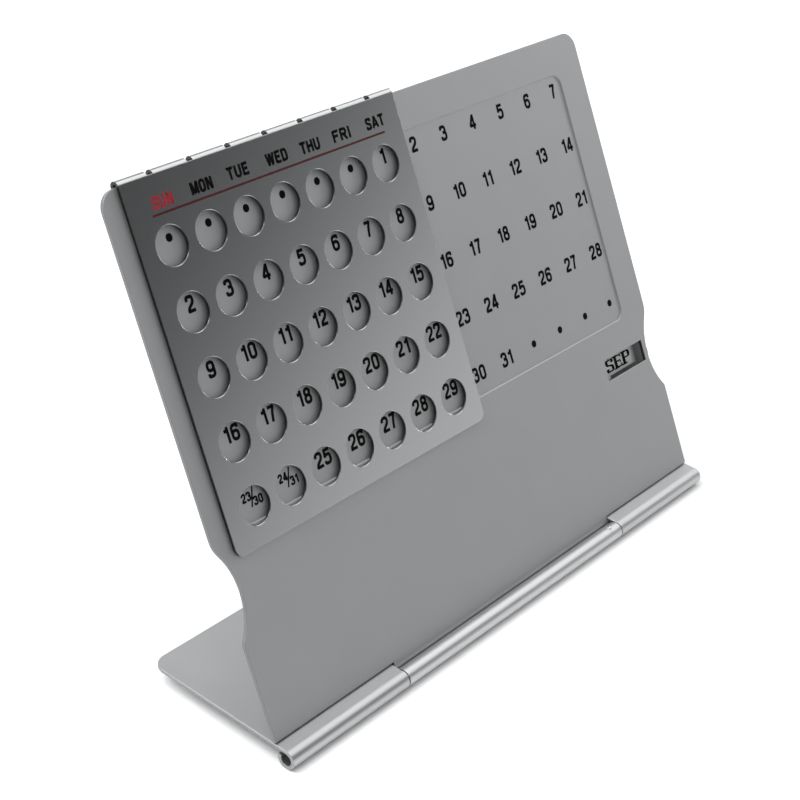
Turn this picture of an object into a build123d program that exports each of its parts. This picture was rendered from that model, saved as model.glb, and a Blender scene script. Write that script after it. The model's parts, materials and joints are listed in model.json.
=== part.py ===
from build123d import *
import os
from math import cos, radians, sin

# Flip desk calendar: a leaning sheet-metal panel hinged to a base plate.
#
# Frame: +X to the reader's right, +Y away from the reader, +Z up. The origin is on the desk,
# at the middle of the calendar's footprint. All sizes are millimetres.

os.makedirs("parts", exist_ok=True)

# ---- sheet, pin and fits
panel_sheet = 0.8  # thickness of the panel's aluminium
base_sheet = 0.8  # thickness of the base's aluminium
slider_sheet = 0.6  # thickness of the slider's aluminium
edge_break = 0.1  # deburred edges of every sheet piece
pin_diameter = 2.5
pin_running_gap = 0.05  # radial, between the pin and every rolled knuckle
pin_end_inset = 4.0  # how far each end of the pin sits inside its knuckle
knuckle_side_gap = 0.3  # along X, between neighbouring knuckles
stake_radius = 0.8
stake_depth = 0.3
stake_inset = 3.1  # side of the middle knuckle to the stake mark
stop_gap = 0.07  # left under the panel's lower edge where it bears on the base

# ---- overall
overall_width = 150.0
panel_height = 110.45  # lower edge to top edge, along the panel
lean = 62.3  # degrees from the base plate up to the panel
base_reach = 37.8  # hinge axis to the base's rear edge
middle_knuckle_length = 79.2
panel_corner = 3.8
base_corner = 3.5

# ---- printed date field and slider grid
columns_shown = 7
date_columns = 13
date_rows = 5
column_pitch = 10.35
row_pitch = 13.1
first_row_drop = 13.45  # panel's top edge to the first row of holes
field_side_margin = 3.75  # outer column centres to the sides of the field
field_top_margin = 5.15  # first row of holes to the field's top
field_bottom_margin = 3.45  # last row of holes to the field's bottom
field_depth = 0.25
field_corner = 2.8
date_hole_diameter = 7.9

# ---- weekday slider
slider_rest_offset = 0.5  # how far left of the panel's columns the slider stands
slider_side_margin = 8.0  # outer column centres to the slider's sides
slider_bottom_margin = 8.0  # last row of holes to the slider's lower edge
slider_corner = 2.2
slider_gap = 0.12  # between the slider and both faces of the panel
slider_top_room = 0.1  # panel's top edge to the middle of the fold
rear_flange = 8.0
fold_slot_width = 1.5
fold_slot_front = 0.25  # how far above the fold's middle a slot starts in front
fold_slot_rear = 1.2
pip_radius = 0.8
pip_height = 0.3

# ---- month window, thumb notches and month wheel
window_width = 16.0
window_height = 5.1
window_side_margin = 4.9  # panel's side to the window
notch_radius = 15.5
notch_depth = 3.4
notch_below_window = 1.0  # middle of the window to the middle of the notches
notch_upper_blend = 6.0
notch_lower_blend = 1.5
wheel_radius = 26.0
wheel_rim_inset = 0.3  # wheel's rim to the panel's side
wheel_thickness = 1.8
wheel_depth = 2.25  # panel's front face to the printed face of the wheel
wheel_grips = 48
grip_radius = 0.7
wheel_hub_recess = 0.8
wheel_hub_diameter = 10.0
pivot_diameter = 6.0
pivot_running_gap = 0.05

# ---- month cover behind the panel
cover_wall = 1.4  # least wall above and below the wheel
cover_side = 2.0  # wall on the side away from the thumb notch
cover_floor = 1.2
cover_corner = 6.0
cover_edge_break = 0.6
cover_base_gap = 1.1  # cover's lower rear edge to the top of the base
cover_opening_inset = 5.0  # panel's side to the cover's open side
wheel_side_gap = 0.5
adhesive = 0.15
spring_height = 0.35
spring_thickness = 0.2
spring_outer_diameter = 13.0
spring_bore_gap = 0.3
spring_room = 0.4  # wheel's back to the cover's floor
washer_diameter = 8.0
washer_thickness = 0.4
washer_play = 0.05
screw_diameter = 2.0
screw_head_diameter = 4.6
screw_head_height = 0.9
screw_length = 2.6
screw_fit = 0.05
drive_slot_width = 0.5
drive_slot_depth = 0.4

# ---- rubber feet
foot_diameter = 7.0
foot_spacing = 100.0
foot_rear_inset = 4.9  # base's rear edge to the foot's axis
foot_bevel = 0.5

# ---- sizes that follow
bore_radius = pin_diameter / 2 + pin_running_gap
panel_roll = bore_radius + panel_sheet
base_roll = bore_radius + base_sheet
hinge_height = max(panel_roll, base_roll)
half_width = overall_width / 2
lean_sin = sin(radians(lean))
lean_cos = cos(radians(lean))
# The panel's back and the base's top meet here, measured along the panel from the hinge axis.
stop_height = (base_roll + panel_roll * lean_cos) / lean_sin
panel_low = stop_height + stop_gap
panel_top = panel_low + panel_height
panel_front_q = -bore_radius
panel_back_q = -panel_roll

grid_height = (date_rows - 1) * row_pitch
first_row = panel_top - first_row_drop
last_row = first_row - grid_height
slides = date_columns - columns_shown
slider_middle_x = -slides * column_pitch / 2 - slider_rest_offset
slider_width = (columns_shown - 1) * column_pitch + 2 * slider_side_margin
slider_low = last_row - slider_bottom_margin
fold_middle = panel_top + slider_top_room
fold_bore = panel_sheet / 2 + slider_gap
fold_outer = fold_bore + slider_sheet
fold_q = (panel_front_q + panel_back_q) / 2
slider_back_q = panel_front_q + slider_gap
flange_front_q = panel_back_q - slider_gap

wheel_x = half_width - wheel_rim_inset - wheel_radius
wheel_front_q = panel_front_q - wheel_depth
wheel_back_q = wheel_front_q - wheel_thickness
web_front_q = wheel_front_q - wheel_hub_recess
floor_q = wheel_back_q - spring_room
cover_back_q = floor_q - cover_floor
cover_rim_q = panel_back_q - adhesive
pocket_radius = wheel_radius + wheel_side_gap
cover_height = 2 * (pocket_radius + cover_wall)
# The cover's lower edge clears the top of the base at the cover's full depth.
cover_low = (base_roll - cover_back_q * lean_cos) / lean_sin + cover_base_gap
wheel_p = cover_low + cover_height / 2
notch_p = wheel_p - notch_below_window
cover_left = wheel_x - pocket_radius - cover_side
cover_right = half_width - cover_opening_inset
washer_back_q = web_front_q + washer_play
washer_front_q = washer_back_q + washer_thickness

# The footprint runs from the front of the rolled hinge to the back of the slider's fold.
fold_back_y = fold_middle * lean_cos - fold_q * lean_sin + fold_outer
hinge_y = (max(panel_roll, base_roll) - max(fold_back_y, base_reach)) / 2
hinge = (0, hinge_y, hinge_height)

# Panel plane: local x is X, local y runs up the panel, local z points at the reader.
panel_plane = Plane(origin=hinge, x_dir=(1, 0, 0), z_dir=(0, -lean_sin, lean_cos))
toward_reader = Axis(hinge, (0, -lean_sin, lean_cos))
# Side views, drawn about the hinge axis and extruded along +X.
panel_side = Plane(origin=hinge, x_dir=(0, lean_cos, lean_sin), z_dir=(1, 0, 0))
base_side = Plane(origin=hinge, x_dir=(0, 1, 0), z_dir=(1, 0, 0))
base_plane = Plane(origin=hinge, x_dir=(1, 0, 0), z_dir=(0, 0, 1))

knuckle_end = middle_knuckle_length / 2
panel_knuckle_half = knuckle_end - knuckle_side_gap / 2
base_knuckle_start = knuckle_end + knuckle_side_gap / 2
base_knuckle_length = half_width - base_knuckle_start
window_x = half_width - window_side_margin - window_width / 2


def near(value, target):
    """True where a coordinate is the stated one."""
    return abs(value - target) < 0.01


# ---- front_panel: one aluminium sheet, rolled forward round the pin in the middle
with BuildPart() as front_panel:
    with BuildSketch(panel_plane.offset(panel_back_q)):
        with Locations((0, (panel_low + panel_top) / 2)):
            Rectangle(overall_width, panel_height)
        fillet(vertices().filter_by(lambda v: near(v.Y, panel_top)), panel_corner)
        notch_reach = half_width + notch_radius - notch_depth
        with Locations((-notch_reach, notch_p), (notch_reach, notch_p)):
            Circle(notch_radius, mode=Mode.SUBTRACT)
        chord = (notch_radius**2 - (notch_radius - notch_depth) ** 2) ** 0.5
        fillet(vertices().filter_by(lambda v: near(v.Y, notch_p + chord)), notch_upper_blend)
        fillet(vertices().filter_by(lambda v: near(v.Y, notch_p - chord)), notch_lower_blend)
        with Locations((window_x, wheel_p)):
            Rectangle(window_width, window_height, mode=Mode.SUBTRACT)
    extrude(amount=panel_sheet)
    chamfer(front_panel.faces().sort_by(toward_reader)[-1].edges(), edge_break)

    # Coined date field: a shallow pan with sloping sides.
    with BuildSketch(panel_plane.offset(panel_front_q)):
        field_top = first_row + field_top_margin
        field_bottom = last_row - field_bottom_margin
        field_width = (date_columns - 1) * column_pitch + 2 * field_side_margin
        with Locations((0, (field_top + field_bottom) / 2)):
            RectangleRounded(field_width, field_top - field_bottom, field_corner)
    extrude(amount=-field_depth, taper=45, mode=Mode.SUBTRACT)

    # Rolled knuckle: down behind the pin, forward under it and up to the panel's face.
    with BuildSketch(panel_side.offset(-panel_knuckle_half)):
        Circle(panel_roll)
        Circle(bore_radius, mode=Mode.SUBTRACT)
        roll_end = radians(22)
        far = 2 * panel_roll
        with BuildLine():
            Polyline((0, 0), (far * cos(roll_end), -far * sin(roll_end)), (far, -far), (0, -far), close=True)
        make_face(mode=Mode.SUBTRACT)
        with Locations((0, panel_back_q)):
            Rectangle(panel_low + edge_break, panel_sheet, align=(Align.MIN, Align.MIN))
    extrude(amount=2 * panel_knuckle_half)

    # Stake mark that pinches the knuckle on the pin.
    stake_side = panel_side.offset(panel_knuckle_half - stake_inset)
    stake_reach = panel_roll + stake_radius - stake_depth
    with Locations(stake_side.location * Location((stake_reach * 0.86, stake_reach * 0.51, 0))):
        Sphere(stake_radius, mode=Mode.SUBTRACT)

    # Locating pip on the top edge, in the slider's slot at the middle of the panel.
    with BuildSketch(panel_plane.offset(panel_back_q)):
        with Locations((0, panel_top + pip_height - pip_radius)):
            Circle(pip_radius)
    extrude(amount=panel_sheet)
front_panel.part.label = "front_panel"
export_step(front_panel.part, "parts/front_panel.step")

# ---- base_plate: one aluminium sheet, its two ends rolled down and back round the pin
with BuildPart() as base_plate:
    with BuildSketch(base_plane.offset(bore_radius)):
        with Locations((0, base_reach / 2)):
            Rectangle(overall_width, base_reach)
        fillet(vertices().filter_by(lambda v: near(v.Y, base_reach)), base_corner)
        cutout_depth = stop_height + knuckle_side_gap
        with Locations((0, cutout_depth / 2)):
            Rectangle(2 * base_knuckle_start, cutout_depth, mode=Mode.SUBTRACT)
    extrude(amount=base_sheet)
    chamfer(
        base_plate.faces().filter_by(Plane.XY).edges().filter_by(lambda e: e.center().Y > hinge_y + 1),
        edge_break,
    )
    with BuildSketch(base_side.offset(-half_width), base_side.offset(base_knuckle_start)):
        Circle(base_roll)
        Circle(bore_radius, mode=Mode.SUBTRACT)
        roll_end = radians(15)
        far = 2 * base_roll
        with BuildLine():
            Polyline((0, 0), (far * cos(roll_end), far * sin(roll_end)), (far, far), (0, far), close=True)
        make_face(mode=Mode.SUBTRACT)
    extrude(amount=base_knuckle_length)
base_plate.part.label = "base_plate"
export_step(base_plate.part, "parts/base_plate.step")

# ---- hinge_pin: plain steel wire, staked in the middle knuckle
with BuildPart() as hinge_pin:
    pin_half = half_width - pin_end_inset
    with BuildSketch(base_side.offset(-pin_half)):
        Circle(pin_diameter / 2)
    extrude(amount=2 * pin_half)
    chamfer(hinge_pin.edges().filter_by(GeomType.CIRCLE), 0.2)
hinge_pin.part.label = "hinge_pin"
export_step(hinge_pin.part, "parts/hinge_pin.step")

# ---- weekday_slider: brushed sheet hooked over the panel's top edge
with BuildPart() as weekday_slider:
    with BuildSketch(panel_plane.offset(slider_back_q)):
        with Locations((slider_middle_x, (slider_low + fold_middle) / 2)):
            Rectangle(slider_width, fold_middle - slider_low)
        fillet(vertices().filter_by(lambda v: near(v.Y, slider_low)), slider_corner)
        with Locations((slider_middle_x, (first_row + last_row) / 2)):
            with GridLocations(column_pitch, row_pitch, columns_shown, date_rows):
                Circle(date_hole_diameter / 2, mode=Mode.SUBTRACT)
    extrude(amount=slider_sheet)
    front_edges = weekday_slider.faces().sort_by(toward_reader)[-1].edges()
    top_y = hinge_y + fold_middle * lean_cos
    chamfer(front_edges.filter_by(lambda e: e.center().Y < top_y - 1), edge_break)

    # Fold and rear flange.
    slider_left = slider_middle_x - slider_width / 2
    with BuildSketch(panel_side.offset(slider_left)):
        with Locations((fold_middle, fold_q)):
            Circle(fold_outer)
            Circle(fold_bore, mode=Mode.SUBTRACT)
        with Locations((fold_middle, fold_q)):
            Rectangle(
                2 * fold_outer, 2 * fold_outer, align=(Align.MAX, Align.CENTER), mode=Mode.SUBTRACT
            )
        with Locations((fold_middle, flange_front_q)):
            Rectangle(rear_flange, slider_sheet, align=(Align.MAX, Align.MAX))
    extrude(amount=slider_width)

    # Slots across the fold, one for each weekday.
    slot_top = fold_middle + 2 * fold_outer
    slot_out = 2 * fold_outer
    for column in range(columns_shown):
        slot_x = slider_middle_x + (column - (columns_shown - 1) / 2) * column_pitch
        with BuildSketch(panel_side.offset(slot_x - fold_slot_width / 2)):
            with BuildLine():
                Polyline(
                    (fold_middle + fold_slot_front, fold_q),
                    (fold_middle + fold_slot_front, fold_q + slot_out),
                    (slot_top, fold_q + slot_out),
                    (slot_top, fold_q - slot_out),
                    (fold_middle - fold_slot_rear, fold_q - slot_out),
                    (fold_middle - fold_slot_rear, fold_q),
                    close=True,
                )
            make_face()
        extrude(amount=fold_slot_width, mode=Mode.SUBTRACT)
weekday_slider.part.label = "weekday_slider"
export_step(weekday_slider.part, "parts/weekday_slider.step")

# ---- month_wheel: moulded disc with finger grips round its rim
with BuildPart() as month_wheel:
    with BuildSketch(panel_plane.offset(wheel_back_q)):
        with Locations((wheel_x, wheel_p)):
            Circle(wheel_radius)
            with PolarLocations(wheel_radius, wheel_grips):
                Circle(grip_radius, mode=Mode.SUBTRACT)
            Circle(pivot_diameter / 2, mode=Mode.SUBTRACT)
    extrude(amount=wheel_thickness)
    with BuildSketch(panel_plane.offset(web_front_q)):
        with Locations((wheel_x, wheel_p)):
            Circle(wheel_hub_diameter / 2)
    extrude(amount=wheel_hub_recess, mode=Mode.SUBTRACT)
month_wheel.part.label = "month_wheel"
export_step(month_wheel.part, "parts/month_wheel.step")

# ---- month_cover: moulded tray behind the panel, open towards the thumb notch
with BuildPart() as month_cover:
    with BuildSketch(panel_plane.offset(cover_back_q)):
        with Locations(((cover_left + cover_right) / 2, wheel_p)):
            Rectangle(cover_right - cover_left, cover_height)
        fillet(vertices(), cover_corner)
    extrude(amount=cover_rim_q - cover_back_q)
    chamfer(month_cover.faces().sort_by(toward_reader)[0].edges(), cover_edge_break)
    with BuildSketch(panel_plane.offset(floor_q)):
        with Locations((wheel_x, wheel_p)):
            Circle(pocket_radius)
    extrude(amount=cover_rim_q - floor_q, mode=Mode.SUBTRACT)
    with BuildSketch(panel_plane.offset(floor_q)):
        with Locations((wheel_x, wheel_p)):
            Circle(pivot_diameter / 2 - pivot_running_gap)
    extrude(amount=washer_back_q - floor_q)
    with BuildSketch(panel_plane.offset(washer_back_q)):
        with Locations((wheel_x, wheel_p)):
            Circle(screw_diameter / 2 + screw_fit)
    extrude(amount=-(screw_length - washer_thickness + screw_fit), mode=Mode.SUBTRACT)
month_cover.part.label = "month_cover"
export_step(month_cover.part, "parts/month_cover.step")

# ---- cover_adhesive: die-cut double-sided tape under the cover's rim
with BuildPart() as cover_adhesive:
    with BuildSketch(panel_plane.offset(cover_rim_q)):
        with Locations(((cover_left + cover_right) / 2, wheel_p)):
            Rectangle(cover_right - cover_left, cover_height)
        fillet(vertices(), cover_corner)
        with Locations((wheel_x, wheel_p)):
            Circle(pocket_radius, mode=Mode.SUBTRACT)
    extrude(amount=adhesive)
cover_adhesive.part.label = "cover_adhesive"
export_step(cover_adhesive.part, "parts/cover_adhesive.step")

# ---- wheel_spring: dished washer that keeps a little drag on the wheel
with BuildPart() as wheel_spring:
    spring_inner = pivot_diameter / 2 + spring_bore_gap
    spring_outer = spring_outer_diameter / 2
    spring_side = Plane(
        origin=panel_plane.offset(floor_q).from_local_coords((wheel_x, wheel_p, 0)),
        x_dir=(1, 0, 0),
        z_dir=-panel_plane.y_dir,
    )
    with BuildSketch(spring_side):
        with BuildLine():
            Polyline(
                (spring_inner, spring_height - spring_thickness),
                (spring_outer, 0),
                (spring_outer, spring_thickness),
                (spring_inner, spring_height),
                close=True,
            )
        make_face()
    revolve(axis=Axis(spring_side.origin, panel_plane.z_dir))
wheel_spring.part.label = "wheel_spring"
export_step(wheel_spring.part, "parts/wheel_spring.step")

# ---- retaining_washer: holds the wheel on the cover's boss
with BuildPart() as retaining_washer:
    with BuildSketch(panel_plane.offset(washer_back_q)):
        with Locations((wheel_x, wheel_p)):
            Circle(washer_diameter / 2)
            Circle(screw_diameter / 2 + screw_fit, mode=Mode.SUBTRACT)
    extrude(amount=washer_thickness)
retaining_washer.part.label = "retaining_washer"
export_step(retaining_washer.part, "parts/retaining_washer.step")

# ---- pivot_screw: small pan-head screw driven into the boss
with BuildPart() as pivot_screw:
    with BuildSketch(panel_plane.offset(washer_front_q - screw_length)):
        with Locations((wheel_x, wheel_p)):
            Circle(screw_diameter / 2)
    extrude(amount=screw_length)
    with BuildSketch(panel_plane.offset(washer_front_q)):
        with Locations((wheel_x, wheel_p)):
            Circle(screw_head_diameter / 2)
    extrude(amount=screw_head_height)
    chamfer(pivot_screw.faces().sort_by(toward_reader)[-1].edges(), screw_head_height / 3)
    with BuildSketch(panel_plane.offset(washer_front_q + screw_head_height)):
        with Locations((wheel_x, wheel_p)):
            Rectangle(screw_head_diameter * 0.6, drive_slot_width)
            Rectangle(drive_slot_width, screw_head_diameter * 0.6)
    extrude(amount=-drive_slot_depth, mode=Mode.SUBTRACT)
pivot_screw.part.label = "pivot_screw"
export_step(pivot_screw.part, "parts/pivot_screw.step")

# ---- rubber feet: they hold the base level with the rolled hinge
foot_height = hinge_height + bore_radius
for foot_name, side in (("foot_left", -1), ("foot_right", 1)):
    with BuildPart() as foot:
        with BuildSketch(Plane.XY):
            with Locations((side * foot_spacing / 2, hinge_y + base_reach - foot_rear_inset)):
                Circle(foot_diameter / 2)
        extrude(amount=foot_height)
        chamfer(foot.faces().sort_by(Axis.Z)[0].edges(), foot_bevel)
    foot.part.label = foot_name
    export_step(foot.part, f"parts/{foot_name}.step")

print("hinge axis", hinge, "panel lower edge", round(panel_low, 3), "panel top", round(panel_top, 3))
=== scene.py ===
import json
import math

import bmesh
import bpy
from mathutils import Matrix, Vector


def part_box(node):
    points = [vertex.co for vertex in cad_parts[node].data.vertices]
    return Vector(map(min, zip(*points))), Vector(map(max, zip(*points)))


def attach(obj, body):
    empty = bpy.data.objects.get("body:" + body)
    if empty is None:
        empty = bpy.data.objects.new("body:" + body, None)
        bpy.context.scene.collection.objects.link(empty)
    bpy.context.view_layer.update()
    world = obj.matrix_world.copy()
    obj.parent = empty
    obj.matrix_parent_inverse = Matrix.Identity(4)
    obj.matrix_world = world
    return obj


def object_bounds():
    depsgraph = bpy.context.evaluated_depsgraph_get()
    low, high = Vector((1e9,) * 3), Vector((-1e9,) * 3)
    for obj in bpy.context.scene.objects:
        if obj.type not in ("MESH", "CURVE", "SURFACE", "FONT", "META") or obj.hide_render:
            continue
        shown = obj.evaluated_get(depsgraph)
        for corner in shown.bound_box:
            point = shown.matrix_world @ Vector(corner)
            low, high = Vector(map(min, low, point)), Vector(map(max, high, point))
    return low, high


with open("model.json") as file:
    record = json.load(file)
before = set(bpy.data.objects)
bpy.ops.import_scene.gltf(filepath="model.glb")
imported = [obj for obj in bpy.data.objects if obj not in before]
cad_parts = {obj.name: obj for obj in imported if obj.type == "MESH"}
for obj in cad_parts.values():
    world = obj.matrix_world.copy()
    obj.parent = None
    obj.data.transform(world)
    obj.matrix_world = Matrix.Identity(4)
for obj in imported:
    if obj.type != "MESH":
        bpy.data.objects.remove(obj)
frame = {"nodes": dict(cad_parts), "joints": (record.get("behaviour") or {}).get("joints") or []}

cad_low, cad_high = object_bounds()

# ---- Base plate
# A sheet of bead-blasted, clear anodised aluminium that lies on the desk behind the panel.
# Its two front ends are rolled round the pin into the hinge's outer knuckles, which show as
# a bright bar.
joint = {each["name"]: each for each in frame["joints"]}
hinge = Vector(joint["stand_fold"]["pos_m"])

# Grain, printing and fittings follow the leaning panel: x runs to the reader's right, p up
# the panel from the hinge and q out of it towards the reader.
toward_reader = Vector(joint["month_turn"]["axis"]).normalized()
up_panel = toward_reader.cross(Vector((1, 0, 0)))
panel_lean = math.atan2(up_panel.z, up_panel.y)

noise_span = (0.3, 0.7)  # nearly all of a noise lies in this span
anodised_tint = (0.99, 1.0, 1.01)
mottle_share = 0.015
mottle_roughness = 0.01
speck_radii = (0.016, 0.03)
speck_share = 0.55
knuckle_radii = (0.0022, 0.0032)
knuckle_roughness = 0.40
side_shade_turn = (0.2, 0.6)  # how far a face turns sideways before painted shade darkens it
side_shade_share = 0.72


def set_inputs(tree, sockets, values):
    """Gives each socket its plain value, or a link from the socket that carries its value."""
    for socket, value in zip(sockets, values):
        if isinstance(value, bpy.types.NodeSocket):
            tree.links.new(value, socket)
        else:
            socket.default_value = value


def add(tree, kind, **inputs):
    """A node of that kind with its inputs set; a name's spaces are written as _."""
    node = tree.nodes.new(kind)
    set_inputs(tree, [node.inputs[name.replace("_", " ")] for name in inputs], inputs.values())
    return node


def maths(tree, operation, *terms):
    """The result of one sum on numbers."""
    node = tree.nodes.new("ShaderNodeMath")
    node.operation = operation
    set_inputs(tree, node.inputs, terms)
    return node.outputs["Value"]


def vector_maths(tree, operation, *terms):
    """The results, Vector or Value, of one sum on vectors."""
    node = tree.nodes.new("ShaderNodeVectorMath")
    node.operation = operation
    set_inputs(tree, node.inputs, terms)
    return node.outputs


def remap(tree, value, span_in, span_out):
    """value taken from one span to another, and held at its ends."""
    node = add(
        tree, "ShaderNodeMapRange",
        Value=value, From_Min=span_in[0], From_Max=span_in[1], To_Min=span_out[0], To_Max=span_out[1],
    )
    return node.outputs["Result"]


def place_of(tree):
    """Where a point lies (Object) and which way it faces (Normal)."""
    return tree.nodes.new("ShaderNodeTexCoord").outputs


def along_panel(tree, stretch=(1, 1, 1)):
    """The point's place in the panel's own directions, scaled along x, p and q."""
    turned = add(tree, "ShaderNodeMapping", Vector=place_of(tree)["Object"], Rotation=(-panel_lean, 0, 0))
    return add(tree, "ShaderNodeMapping", Vector=turned.outputs["Vector"], Scale=stretch).outputs["Vector"]


def noise(tree, scale, detail, stretch=(1, 1, 1)):
    """Noise of that scale, which runs on along x where stretch is small there."""
    texture = add(tree, "ShaderNodeTexNoise", Vector=along_panel(tree, stretch), Scale=scale, Detail=detail)
    return texture.outputs["Fac"]


def new_material(name, metallic, roughness):
    """A material, its nodes and its shader."""
    material = bpy.data.materials.new(name)
    material.use_nodes = True
    shader = material.node_tree.nodes["Principled BSDF"]
    shader.inputs["Metallic"].default_value = metallic
    shader.inputs["Roughness"].default_value = roughness
    return material, material.node_tree, shader


def colour(tree, shader, shade, tint=(1.0, 1.0, 1.0)):
    """Colours the shader by one brightness and a tint."""
    red, green, blue = (maths(tree, "MULTIPLY", shade, share) for share in tint)
    mixed = add(tree, "ShaderNodeCombineColor", Red=red, Green=green, Blue=blue)
    tree.links.new(mixed.outputs["Color"], shader.inputs["Base Color"])


def relief(tree, shader, height, strength, depth, edge_radius=None):
    """Raises the surface by a fine pattern and, with a radius, eases the piece's edges."""
    bump = add(tree, "ShaderNodeBump", Height=height, Strength=strength, Distance=depth)
    if edge_radius:
        eased = add(tree, "ShaderNodeBevel", Radius=edge_radius)
        tree.links.new(eased.outputs["Normal"], bump.inputs["Normal"])
    tree.links.new(bump.outputs["Normal"], shader.inputs["Normal"])


def rolled(tree):
    """1 on the knuckles rolled round the hinge pin, 0 on the flat of a sheet."""
    from_pin = vector_maths(tree, "SUBTRACT", place_of(tree)["Object"], hinge)["Vector"]
    across = vector_maths(tree, "MULTIPLY", from_pin, (0, 1, 1))["Vector"]
    return remap(tree, vector_maths(tree, "LENGTH", across)["Value"], knuckle_radii, (1, 0))


def dulled(tree, shade, share):
    """shade, lowered to that share by painted shade on sides that face left or right."""
    facing = add(tree, "ShaderNodeSeparateXYZ", Vector=place_of(tree)["Normal"])
    sideways = maths(tree, "ABSOLUTE", facing.outputs["X"])
    return maths(tree, "MULTIPLY", shade, remap(tree, sideways, side_shade_turn, (1, share)))


def blasted(name, brightness, roughness, speck_scale, knuckle_sheen_gain, shade_further=None):
    """Blasted aluminium: fine grain, faint mottle, dark specks, painted knuckle sheen and side shade."""
    material, tree, shader = new_material(name, 1.0, roughness)
    mottle = noise(tree, scale=90.0, detail=5.0)
    cells = add(tree, "ShaderNodeTexVoronoi", Vector=along_panel(tree), Scale=speck_scale)
    knuckle = rolled(tree)

    mottled = (brightness * (1 - mottle_share), brightness * (1 + mottle_share))
    shade = remap(tree, mottle, noise_span, mottled)
    speck = remap(tree, cells.outputs["Distance"], speck_radii, (speck_share, 1))
    shade = maths(tree, "MULTIPLY", shade, speck)
    # Painted sheen: the knuckles are made brighter than the flat sheet.
    shade = maths(tree, "MULTIPLY", shade, remap(tree, knuckle, (0, 1), (1, knuckle_sheen_gain)))
    # Painted shade on the sides that face left or right.
    shade = dulled(tree, shade, side_shade_share)
    if shade_further:
        shade = shade_further(tree, shade)
    colour(tree, shader, shade, anodised_tint)

    uneven = remap(tree, mottle, noise_span, (roughness - mottle_roughness, roughness + mottle_roughness))
    smoother = remap(tree, knuckle, (0, 1), (0, roughness - knuckle_roughness))
    tree.links.new(maths(tree, "SUBTRACT", uneven, smoother), shader.inputs["Roughness"])
    grain = noise(tree, scale=5200.0, detail=2.0)
    relief(tree, shader, grain, strength=0.25, depth=0.00002, edge_radius=0.00007)
    return material


def dress(node, material):
    """Gives a CAD node that material on every slot."""
    mesh = frame["nodes"][node].data
    if not mesh.materials:
        mesh.materials.append(material)
    for index in range(len(mesh.materials)):
        mesh.materials[index] = material


# The base is painted lighter than the panel, though both are one aluminium, for the light its upward top
# catches.
base_metal = blasted(
    "base_aluminium", brightness=0.475, roughness=0.46, speck_scale=38.0, knuckle_sheen_gain=1.02
)
dress("base_plate", base_metal)

# ---- Rubber feet
# Two small pads of moulded black rubber under the base's rear edge. They keep the plate
# level with the rolled hinge and stop it sliding.


def grained(name, roughness, scale, detail, shades, tint=(1.0, 1.0, 1.0)):
    """A surface that isn't metal, with fine noise between two shades, and that noise."""
    material, tree, shader = new_material(name, 0.0, roughness)
    grain = noise(tree, scale, detail)
    colour(tree, shader, remap(tree, grain, noise_span, shades), tint)
    return material, tree, shader, grain


rubber, tree, shader, skin = grained("foot_rubber", 0.85, scale=2400.0, detail=4.0, shades=(0.016, 0.028))
relief(tree, shader, skin, strength=0.4, depth=0.00004)
for foot in ("foot_left", "foot_right"):
    dress(foot, rubber)

# ---- Hinge pin
# Drawn steel wire runs through all three knuckles and holds the panel and the base together.
# Only its end shows, inside the rolled left knuckle.
steel, tree, shader = new_material("drawn_steel", 1.0, 0.3)
drawn = noise(tree, scale=1.0, detail=3.0, stretch=(40, 2500, 2500))
colour(tree, shader, remap(tree, drawn, noise_span, (0.45, 0.6)), (1.0, 0.98, 0.95))
tree.links.new(remap(tree, drawn, noise_span, (0.25, 0.4)), shader.inputs["Roughness"])
dress("hinge_pin", steel)

# ---- Front panel
# The leaning sheet of the same blasted aluminium carries the coined date field, the month
# window and a thumb notch in each side. Its middle is rolled into the third knuckle.
wheel_axis = Vector(joint["month_turn"]["pos_m"])
window_middle = wheel_axis + Vector((0.0134, 0, 0))
window_reach = 0.0093
window_fade = window_reach * 1.03
wall_turn = (0.3, 0.6)  # how squarely a surface faces the reader, from a wall to a face
# Painted shade darkens the walls of the month window to this share.
wall_shade_share = 0.2


def shaded_window(tree, shade):
    """shade, lowered by painted shade on the walls of the month window."""
    place = place_of(tree)
    away = vector_maths(tree, "DISTANCE", place["Object"], window_middle)["Value"]
    facing = vector_maths(tree, "DOT_PRODUCT", place["Normal"], toward_reader)["Value"]
    beyond = remap(tree, away, (window_reach, window_fade), (0, 1))
    flat = remap(tree, maths(tree, "ABSOLUTE", facing), wall_turn, (0, 1))
    no_wall = maths(tree, "MAXIMUM", beyond, flat)
    return maths(tree, "MULTIPLY", shade, remap(tree, no_wall, (0, 1), (wall_shade_share, 1)))


# The panel is painted darker than the base, for the lesser light its leaning face catches.
panel_metal = blasted(
    "panel_aluminium", brightness=0.38, roughness=0.6, speck_scale=30.0, knuckle_sheen_gain=1.44,
    shade_further=shaded_window,
)
dress("front_panel", panel_metal)

# ---- Date printing
# Black dates are screen-printed in the coined field, on the same pitch as the slider's holes.
# Dots fill the places before the 1st and after the 31st, and the two last days of a long
# month share a place with the days a week before them.
panel_axes = Matrix((Vector((1, 0, 0)), up_panel, toward_reader)).transposed().to_4x4()
on_panel = Matrix.Translation(hinge) @ panel_axes

# A letter has a width and its strokes, on a body one unit tall.
west, east, south, north = 0.09, 0.53, 0.09, 0.91
letter_gap = 0.12
corner_radius = 0.24
corner_steps = 8


def line(*corners):
    """A stroke with sharp corners."""
    return "line", corners


def bend(*corners):
    """A stroke with rounded corners."""
    return "bend", corners


def loop(*corners):
    """A closed stroke with rounded corners."""
    return "loop", corners


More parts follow.
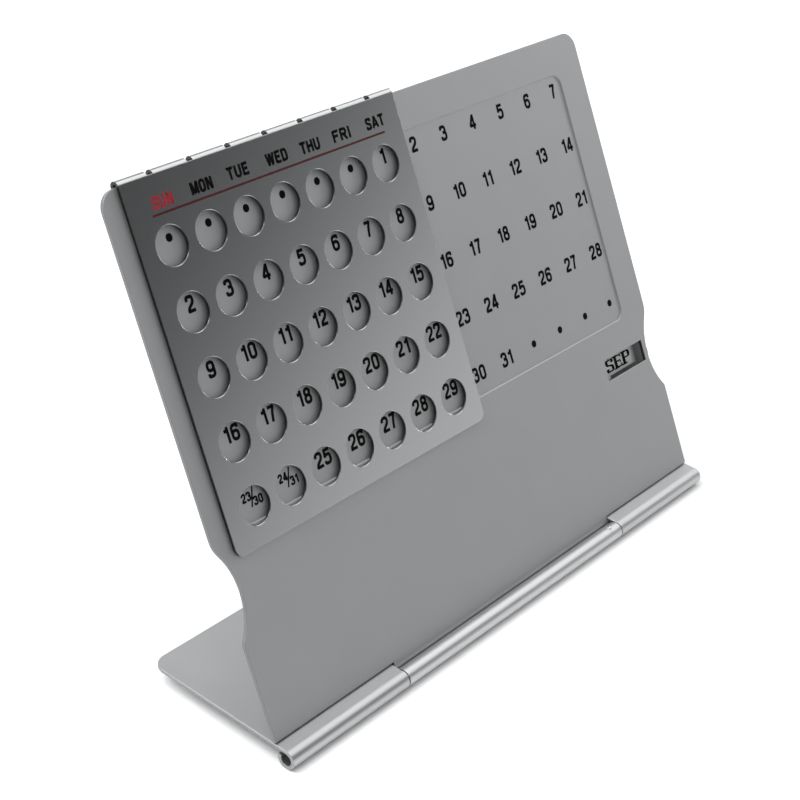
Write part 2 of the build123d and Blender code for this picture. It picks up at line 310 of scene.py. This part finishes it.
bowl = loop((west, south), (east, south), (east, north), (west, north))
upper_bowl = bend((west, north), (east, north), (east, 0.49), (west, 0.49))
stem = line((west, 0), (west, 1))
far_stem = line((0.55, 0), (0.55, 1))
top_arm = line((west, north), (0.56, north))
middle_arm = line((west, 0.52), (0.50, 0.52))
bottom_arm = line((west, south), (0.57, south))
letter_shapes = {
    "0": (0.62, [bowl]),
    "1": (0.46, [line((0.34, 0), (0.34, 1)), bend((0.34, 0.95), (0.28, 0.77), (0.06, 0.77))]),
    "2": (0.62, [
        bend((west, 0.66), (west, north), (east, north), (east, 0.56), (0.13, 0.24), (0.10, 0.04)),
        line((0.03, south), (0.60, south)),
    ]),
    "3": (0.62, [
        bend((west, 0.70), (west, north), (0.51, north), (0.51, 0.53), (0.24, 0.53)),
        bend((0.24, 0.53), (east, 0.53), (east, south), (west, south), (west, 0.30)),
    ]),
    "4": (0.64, [
        line((0.44, 0), (0.44, 1)),
        line((0, 0.27), (0.64, 0.27)),
        line((0.06, 0.27), (0.41, 0.93)),
    ]),
    "5": (0.62, [
        line((0.57, north), (0.14, north), (0.10, 0.46)),
        bend((0.10, 0.46), (0.16, 0.60), (east, 0.62), (east, south), (west, south), (west, 0.27)),
    ]),
    "6": (0.62, [
        loop((west, south), (east, south), (east, 0.57), (west, 0.57)),
        bend((west, 0.34), (west, north), (east, north), (east, 0.72)),
    ]),
    "7": (0.62, [line((0.03, north), (0.53, north)), bend((0.52, 0.98), (0.34, 0.55), (0.24, 0))]),
    "8": (0.62, [
        loop((west, south), (east, south), (east, 0.53), (west, 0.53)),
        loop((0.12, 0.53), (0.50, 0.53), (0.50, north), (0.12, north)),
    ]),
    "9": (0.62, [
        loop((west, 0.43), (east, 0.43), (east, north), (west, north)),
        bend((east, 0.66), (east, south), (west, south), (west, 0.28)),
    ]),
    "A": (0.68, [
        line((0.05, 0), (0.34, 1)),
        line((0.34, 1), (0.63, 0)),
        line((0.15, 0.30), (0.53, 0.30)),
    ]),
    "B": (0.62, [
        stem,
        bend((west, north), (0.50, north), (0.50, 0.53), (west, 0.53)),
        bend((west, 0.53), (east, 0.53), (east, south), (west, south)),
    ]),
    "C": (0.62, [
        bend((east, 0.66), (east, north), (west, north), (west, south), (east, south), (east, 0.34)),
    ]),
    "D": (0.62, [stem, bend((west, north), (east, north), (east, south), (west, south))]),
    "E": (0.58, [stem, top_arm, middle_arm, bottom_arm]),
    "F": (0.56, [stem, top_arm, middle_arm]),
    "G": (0.64, [
        bend((east, 0.68), (east, north), (west, north), (west, south), (east, south), (east, 0.45)),
        line((0.32, 0.45), (0.60, 0.45)),
    ]),
    "H": (0.64, [stem, far_stem, line((west, 0.52), (0.55, 0.52))]),
    "I": (0.18, [stem]),
    "J": (0.52, [bend((0.43, 1), (0.43, south), (0.07, south), (0.07, 0.32))]),
    "L": (0.56, [stem, bottom_arm]),
    "M": (0.78, [
        stem,
        line((0.69, 0), (0.69, 1)),
        line((0.11, 0.98), (0.39, 0.06)),
        line((0.39, 0.06), (0.67, 0.98)),
    ]),
    "N": (0.64, [stem, far_stem, line((0.12, 0.98), (0.52, 0.02))]),
    "O": (0.62, [bowl]),
    "P": (0.60, [stem, upper_bowl]),
    "R": (0.64, [stem, upper_bowl, line((0.30, 0.50), (0.57, 0))]),
    "S": (0.62, [
        bend(
            (east, 0.69), (east, north), (west, north), (west, 0.58),
            (east, 0.44), (east, south), (west, south), (west, 0.31),
        ),
    ]),
    "T": (0.62, [line((0.31, 0), (0.31, 1)), line((0.0, north), (0.62, north))]),
    "U": (0.62, [bend((west, 1), (west, south), (east, south), (east, 1))]),
    "V": (0.66, [line((0.05, 1), (0.33, 0)), line((0.33, 0), (0.61, 1))]),
    "W": (0.86, [
        line((0.06, 1), (0.24, 0)),
        line((0.24, 0), (0.43, 0.98)),
        line((0.43, 0.98), (0.62, 0)),
        line((0.62, 0), (0.80, 1)),
    ]),
    "Y": (0.66, [
        line((0.05, 1), (0.33, 0.45)),
        line((0.33, 0.45), (0.61, 1)),
        line((0.33, 0), (0.33, 0.5)),
    ]),
    "/": (0.46, [line((0.04, 0), (0.42, 1))]),
    ".": (0.50, [loop((0.125, 0.375), (0.375, 0.375), (0.375, 0.625), (0.125, 0.625))]),
}

# A stroke thins as it turns level, and the rising stroke of an A or a V is thin all the way.
stress = 1.5
rising_slope = 0.2
sharpest_mitre = 0.6
shortest_run = 1e-6

# Serif letters have feet on their uprights and a tick on each arm.
upright_lean = 0.3
end_play = 0.02
level_play = 0.01
foot_reach = 0.95
tick_drop = 0.17
tick_weight = 1.4


def rounded(corners, radius, closed):
    """The path through those corners, each rounded as far as its two runs allow."""
    path = []
    count = len(corners)
    for index, here in enumerate(corners):
        if not closed and index in (0, count - 1):
            path.append(here)
            continue
        before = corners[index - 1] - here
        after = corners[(index + 1) % count] - here
        reach = min(radius, before.length / 2, after.length / 2)
        start = here + before.normalized() * reach
        end = here + after.normalized() * reach
        for step in range(corner_steps + 1):
            t = step / corner_steps
            path.append(start * (1 - t) ** 2 + here * 2 * t * (1 - t) + end * t**2)
    return path


def draw_stroke(ink, place, path, closed, thick, thin):
    """A flat ribbon along the path: thick where it runs up or down, thin where it runs across."""
    count = len(path)
    rails = []
    for index, here in enumerate(path):
        runs = []
        if closed or index > 0:
            runs.append(here - path[index - 1])
        if closed or index < count - 1:
            runs.append(path[(index + 1) % count] - here)
        runs = [run.normalized() for run in runs if run.length > shortest_run]
        heading = sum(runs, Vector((0, 0))).normalized()
        share = abs(heading.y) ** stress
        if heading.x * heading.y > rising_slope and count == 2:
            share = 0.0
        side = Vector((-heading.y, heading.x))
        first_side = Vector((-runs[0].y, runs[0].x))
        mitre = max(abs(side.dot(first_side)), sharpest_mitre)
        half = (thin + (thick - thin) * share) / 2 / mitre
        rails.append([ink.verts.new(place @ (here + side * out).to_3d()) for out in (half, -half)])
    pairs = zip(rails, rails[1:] + rails[:1]) if closed else zip(rails, rails[1:])
    for (left_a, right_a), (left_b, right_b) in pairs:
        ink.faces.new((right_a, right_b, left_b, left_a))


def draw_serifs(ink, place, start, end, upright, stroke, serif):
    """Feet on the ends of an upright, or the tick at the end of an arm."""
    for tip in (start, end):
        if upright and abs(abs(tip.y) - 0.5) < end_play:
            middle = Vector((tip.x, math.copysign(0.5 - serif / 2, tip.y)))
            reach = Vector((stroke * foot_reach, 0))
            draw_stroke(ink, place, [middle - reach, middle + reach], False, serif, serif)
    if abs(start.y - end.y) < level_play:
        tick = Vector((end.x - serif / 2, end.y))
        drop = Vector((0, math.copysign(tick_drop, -tick.y)))
        draw_stroke(ink, place, [tick, tick + drop], False, serif * tick_weight, serif)


def draw_text(ink, text, middle, cap, stroke, spread=1.0, serif=0.0, turn=0.0):
    """Letters about a middle point on the panel, in metres, turned anticlockwise."""
    length = (sum(letter_shapes[character][0] + letter_gap for character in text) - letter_gap) * spread
    across = -length / 2
    turned = Matrix.Translation(middle) @ Matrix.Rotation(turn, 4, "Z")
    place = on_panel @ turned @ Matrix.Diagonal((cap, cap, cap, 1))
    for character in text:
        width, strokes = letter_shapes[character]
        for kind, corners in strokes:
            spots = [Vector((across + x * spread, y - 0.5)) for x, y in corners]
            closed = kind == "loop"
            path = spots if kind == "line" else rounded(spots, corner_radius * spread, closed)
            draw_stroke(ink, place, path, closed, stroke, serif or stroke)
            if serif and kind == "line":
                start, end = spots[0], spots[-1]
                upright = abs(start.x - end.x) < upright_lean * spread
                draw_serifs(ink, place, start, end, upright, stroke, serif)
        across += (width + letter_gap) * spread


def add_piece(name, mesh, body):
    """Makes that mesh a piece that rides on that body."""
    piece = bpy.data.objects.new(name, mesh)
    bpy.context.scene.collection.objects.link(piece)
    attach(piece, body)


def finish_ink(name, ink, material, body):
    """Makes the strokes drawn so far one printed piece on that body."""
    mesh = bpy.data.meshes.new(name)
    ink.to_mesh(mesh)
    ink.free()
    mesh.materials.append(material)
    add_piece(name, mesh, body)


def screen_ink(name, roughness, gloss, shades, tint=(1.0, 1.0, 1.0)):
    """Thin printing ink, with the fine grain of the screen it was pressed through."""
    material, tree, shader, film = grained(name, roughness, 3000.0, 3.0, shades, tint)
    shader.inputs["Specular IOR Level"].default_value = gloss
    return material, tree, shader, film


ink_black, tree, shader, film = screen_ink("ink_black", 0.6, gloss=0.02, shades=(0.003, 0.006))
tree.links.new(remap(tree, film, noise_span, (0.4, 0.6)), shader.inputs["Roughness"])

column_pitch = 0.01035
row_pitch = 0.0131
date_rows, date_columns = 5, 13
first_date_row = 0.10205
middle_column = 6
print_shift = 0.0001
panel_front = -0.0013
field_depth = 0.00025
ink_lift = 0.00001
field_floor = panel_front - field_depth + ink_lift

date_cap, date_stroke = 0.00335, 0.208
dot_cap, dot_stroke = 0.0033, 0.25
small_cap, small_stroke = 0.0018, 0.25
slash_cap, slash_stroke = 0.0038, 0.105
small_aside = 0.0014
earlier_lift, later_drop = 0.0004, 0.0010

ink = bmesh.new()
for row in range(date_rows):
    for column in range(date_columns):
        day = row * 7 + column - 5
        x = (column - middle_column) * column_pitch + print_shift
        p = first_date_row - row * row_pitch
        if row == date_rows - 1 and column < 2:
            earlier = (x - small_aside, p + earlier_lift, field_floor)
            later = (x + small_aside, p - later_drop, field_floor)
            draw_text(ink, str(day), earlier, small_cap, small_stroke)
            draw_text(ink, "/", (x + print_shift, p, field_floor), slash_cap, slash_stroke)
            draw_text(ink, str(day + 7), later, small_cap, small_stroke)
        elif 1 <= day <= 31:
            draw_text(ink, str(day), (x, p, field_floor), date_cap, date_stroke)
        else:
            draw_text(ink, ".", (x, p, field_floor), dot_cap, dot_stroke)
finish_ink("date_printing", ink, ink_black, "panel")

# ---- Weekday slider
# A thinner brushed aluminium sheet with 35 punched holes, folded over the panel's top edge.
# It slides along that edge, so that one column of holes comes under each weekday.
# Painted shade darkens the hole walls and the sheet's ends, which face left or right.
slider_side_shade_share = 0.12
brushed, tree, shader = new_material("slider_brushed", 1.0, 0.22)
hair = noise(tree, scale=1.0, detail=4.0, stretch=(60, 9000, 9000))
shade = dulled(tree, remap(tree, hair, noise_span, (0.492, 0.498)), slider_side_shade_share)
colour(tree, shader, shade, (0.99, 1.0, 1.005))
tree.links.new(remap(tree, hair, noise_span, (0.219, 0.223)), shader.inputs["Roughness"])
relief(tree, shader, hair, strength=0.002, depth=0.00001, edge_radius=0.00009)
dress("weekday_slider", brushed)

# Each weekday has a small shift aside and above the line, and a spread of its own.
slider_face = -0.00058
print_level = slider_face + ink_lift
slider_low, slider_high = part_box("weekday_slider")
slider_middle = (slider_low.x + slider_high.x) / 2
weekday_line = 0.10945
weekday_cap, weekday_stroke = 0.00245, 0.25
monday_column = -2
weekdays = (
    ("MON", 0.0009, -0.00026, 1.02),
    ("TUE", 0.0005, 0, 1.15),
    ("WED", 0.0012, 0, 1.06),
    ("THU", 0.0006, -0.00015, 1.10),
    ("FRI", -0.0001, -0.0001, 1.36),
    ("SAT", 0.0002, 0, 1.08),
)
ink = bmesh.new()
for column, (day, aside, above, spread) in enumerate(weekdays, monday_column):
    spot = (slider_middle + column * column_pitch + aside, weekday_line + above, print_level)
    draw_text(ink, day, spot, weekday_cap, weekday_stroke, spread)
finish_ink("weekday_printing", ink, ink_black, "slider")

# Sunday is printed in red, and a dark-red rule runs under all seven names.
red_tint = (1.0, 0.03, 0.06)
red_gloss = 0.2
sunday_stroke, sunday_spread = 0.215, 1.02
sunday_aside, sunday_drop = 0.001, 0.00045
ink_red = screen_ink("ink_red", 0.5, red_gloss, (0.26, 0.31), red_tint)[0]
sunday_x = slider_middle + (monday_column - 1) * column_pitch + sunday_aside
sunday_spot = (sunday_x, weekday_line - sunday_drop, print_level)
ink = bmesh.new()
draw_text(ink, "SUN", sunday_spot, weekday_cap, sunday_stroke, sunday_spread)
finish_ink("sunday_printing", ink, ink_red, "slider")

rule_line = 0.1068
rule_half = 0.0334
rule_width = 0.00044
ink_maroon = screen_ink("ink_maroon", 0.5, red_gloss, (0.045, 0.06), red_tint)[0]
rule_ends = [Vector((slider_middle + side * rule_half, rule_line)) for side in (-1, 1)]
rule_place = on_panel @ Matrix.Translation((0, 0, print_level))
ink = bmesh.new()
draw_stroke(ink, rule_place, rule_ends, False, rule_width, rule_width)
finish_ink("weekday_rule", ink, ink_maroon, "slider")

# ---- Month wheel
# A moulded disc with a silver-grey face and a dark knurled rim turns on the cover's boss
# behind the panel. One month at a time reads through the window, and the thumb turns the
# rim in the right-hand notch.
# The face fades to the dark plastic rim. The soft fade, placed where the window's right wall throws its
# shadow, is painted shadow.
ring_edge = 0.0185
ring_shadow_fade = 0.0022
rim_and_shadow_share = 0.05
silver, tree, shader = new_material("wheel_silver", 0.0, 0.5)
from_axis = vector_maths(tree, "DISTANCE", place_of(tree)["Object"], wheel_axis)["Value"]
rim_and_shadow = remap(tree, from_axis, (ring_edge, ring_edge + ring_shadow_fade), (1, rim_and_shadow_share))
face = remap(tree, noise(tree, scale=2600.0, detail=4.0), noise_span, (0.50, 0.58))
colour(tree, shader, maths(tree, "MULTIPLY", face, rim_and_shadow))
dress("month_wheel", silver)

wheel_centre = on_panel.inverted() @ wheel_axis
wheel_depth = 0.00225
wheel_print = Vector((wheel_centre.x, wheel_centre.y, panel_front - wheel_depth + ink_lift))
month_radius = 0.01335
month_cap, month_stroke, month_spread, month_serif = 0.0033, 0.34, 1.5, 0.11
months = ("SEP", "OCT", "NOV", "DEC", "JAN", "FEB", "MAR", "APR", "MAY", "JUN", "JUL", "AUG")
ink = bmesh.new()
for index, month in enumerate(months):
    bearing = -index * math.tau / len(months)
    spot = wheel_print + Vector((math.cos(bearing), math.sin(bearing), 0)) * month_radius
    draw_text(ink, month, spot, month_cap, month_stroke, month_spread, month_serif, bearing)
finish_ink("month_printing", ink, ink_black, "wheel")

# A dark bar lies below each name, in a ring round the axis; it darkens the band along the window's lower
# edge.
dark_bar_material = grained("wheel_bar", 0.6, 3000.0, 3.0, (0.05, 0.08))[0]
bar_sizes = {
    "Bars": ("NodeSocketInt", len(months)),
    "Bar length": ("NodeSocketFloat", 0.0110),
    "Bar width": ("NodeSocketFloat", 0.0012),
    "Bar middle": ("NodeSocketVector", (0.0145, -0.0029, 0)),
    "Bar material": ("NodeSocketMaterial", dark_bar_material),
}
bar_ring = bpy.data.node_groups.new("month_bar_ring", "GeometryNodeTree")
bar_ring.interface.new_socket("Geometry", in_out="OUTPUT", socket_type="NodeSocketGeometry")
for size_name, (kind, value) in bar_sizes.items():
    bar_ring.interface.new_socket(size_name, in_out="INPUT", socket_type=kind)
sizes = bar_ring.nodes.new("NodeGroupInput").outputs
one_bar = add(
    bar_ring, "GeometryNodeMeshGrid",
    Size_X=sizes["Bar length"], Size_Y=sizes["Bar width"], Vertices_X=2, Vertices_Y=2,
)
set_out = add(
    bar_ring, "GeometryNodeTransform",
    Geometry=one_bar.outputs["Mesh"], Translation=sizes["Bar middle"],
)
hub_points = add(bar_ring, "GeometryNodePoints", Count=sizes["Bars"])
one_share = maths(bar_ring, "DIVIDE", math.tau, sizes["Bars"])
bar_index = bar_ring.nodes.new("GeometryNodeInputIndex").outputs["Index"]
swing = add(bar_ring, "ShaderNodeCombineXYZ", Z=maths(bar_ring, "MULTIPLY", bar_index, one_share))
all_bars = add(
    bar_ring, "GeometryNodeInstanceOnPoints",
    Points=hub_points.outputs[0], Instance=set_out.outputs["Geometry"], Rotation=swing.outputs[0],
)
solid_bars = add(bar_ring, "GeometryNodeRealizeInstances", Geometry=all_bars.outputs["Instances"])
coloured_bars = add(
    bar_ring, "GeometryNodeSetMaterial",
    Geometry=solid_bars.outputs["Geometry"], Material=sizes["Bar material"],
)
add(bar_ring, "NodeGroupOutput", Geometry=coloured_bars.outputs["Geometry"])

blank = bpy.data.objects.new("bar_blank", bpy.data.meshes.new("bar_blank"))
bpy.context.scene.collection.objects.link(blank)
ring_maker = blank.modifiers.new("month_bar_ring", "NODES")
ring_maker.node_group = bar_ring
for item in bar_ring.interface.items_tree:
    if item.in_out == "INPUT":
        ring_maker[item.identifier] = bar_sizes[item.name][1]
evaluated = blank.evaluated_get(bpy.context.evaluated_depsgraph_get())
bars = bpy.data.meshes.new_from_object(evaluated)
bpy.data.objects.remove(blank)
bars.transform(on_panel @ Matrix.Translation(wheel_print))
add_piece("month_bars", bars, "wheel")

# ---- Month cover and its fittings
# A moulded black plastic shell, taped to the panel's back, holds the wheel on its boss.
# A dished steel washer gives the wheel its drag, and a flat one and a screw keep it on.
cover_plastic = grained("cover_plastic", 0.6, 1800.0, 4.0, (0.02, 0.035))[0]
dress("month_cover", cover_plastic)
for fitting in ("wheel_spring", "retaining_washer", "pivot_screw"):
    dress(fitting, steel)
tape = grained("adhesive_film", 0.5, 1500.0, 4.0, (0.5, 0.6))[0]
dress("cover_adhesive", tape)

# ---- Floor
# A wide white card lies under the object, at the height of its feet. It isn't part of the
# object and is there to take its shadow.
card_reach = 6.0
outline = ((-1, -1), (1, -1), (1, 1), (-1, 1))
floor_mesh = bpy.data.meshes.new("floor")
floor_mesh.from_pydata([(x * card_reach, y * card_reach, 0) for x, y in outline], [], [(0, 1, 2, 3)])
floor_mesh.materials.append(grained("floor_card", 0.9, 40.0, 4.0, (0.86, 0.88))[0])
floor = bpy.data.objects.new("floor", floor_mesh)
floor.location.z = cad_low.z
bpy.context.scene.collection.objects.link(floor)

# ---- Lamps and surroundings
# Four rectangular lamps face the object. The room is bright behind, on the right and on the
# left, and dark in front, which the brushed slider mirrors as a change from dark to light.
centre = (cad_low + cad_high) / 2


def softbox(name, direction, distance, width, height, power):
    """A rectangular lamp that faces the object from that direction."""
    lamp = bpy.data.lights.new(name, "AREA")
    lamp.shape = "RECTANGLE"
    lamp.size = width
    lamp.size_y = height
    lamp.energy = power
    holder = bpy.data.objects.new(name, lamp)
    heading = Vector(direction).normalized()
    holder.location = centre + heading * distance
    holder.rotation_euler = (-heading).to_track_quat("-Z", "Y").to_euler()
    bpy.context.scene.collection.objects.link(holder)


softbox("overhead", (-0.45, 0.30, 0.85), distance=1.3, width=1.2, height=1.0, power=18.0)
softbox("key", (0.61, -0.10, 0.78), distance=1.3, width=1.3, height=1.0, power=5.5)
softbox("side", (0.97, -0.15, 0.18), distance=1.5, width=0.35, height=0.35, power=4.0)
softbox("backdrop", (0.69, 0.74, 0.03), distance=1.6, width=1.2, height=0.3, power=1.3)

room = bpy.data.worlds.new("studio")
room.use_nodes = True
tree = room.node_tree
axes = add(tree, "ShaderNodeSeparateXYZ", Vector=place_of(tree)["Generated"]).outputs
rearward = maths(tree, "ADD", axes["Z"], axes["Y"])
rightward = maths(tree, "MULTIPLY_ADD", axes["Z"], -1.6, axes["X"])
back_wall = remap(tree, rearward, (-0.3, 1.2), (0.03, 0.62))
right_wall = remap(tree, rightward, (0.27, 0.50), (0.0, 0.90))
left_wall = remap(tree, axes["X"], (0.0, 0.42), (0.34, 0.0))
glow = maths(tree, "ADD", maths(tree, "ADD", back_wall, right_wall), left_wall)
background = tree.nodes["Background"]
tree.links.new(glow, background.inputs["Strength"])
background.inputs["Color"].default_value = (0.97, 0.985, 1.0, 1.0)
bpy.context.scene.world = room
bpy.context.scene.view_settings.view_transform = "Standard"

# ---- Camera
# A moderately long lens looks down at the object from the front left, as one looks at a
# calendar on a desk.
lens = bpy.data.cameras.new("camera")
lens.lens = 81.0
lens.sensor_width = 36.0
lens.clip_start = 0.01
camera_place = hinge + Vector((-0.27814, -0.17086, 0.23654))
camera_right = Vector((0.63733, -0.76558, 0.08743))
camera_up = Vector((0.33903, 0.38047, 0.86040))
camera_back = camera_right.cross(camera_up)
camera_turn = Matrix((camera_right, camera_up, camera_back)).transposed().to_4x4()
camera = bpy.data.objects.new("camera", lens)
camera.matrix_world = Matrix.Translation(camera_place) @ camera_turn
bpy.context.scene.collection.objects.link(camera)
bpy.context.scene.camera = camera

bpy.context.view_layer.update()
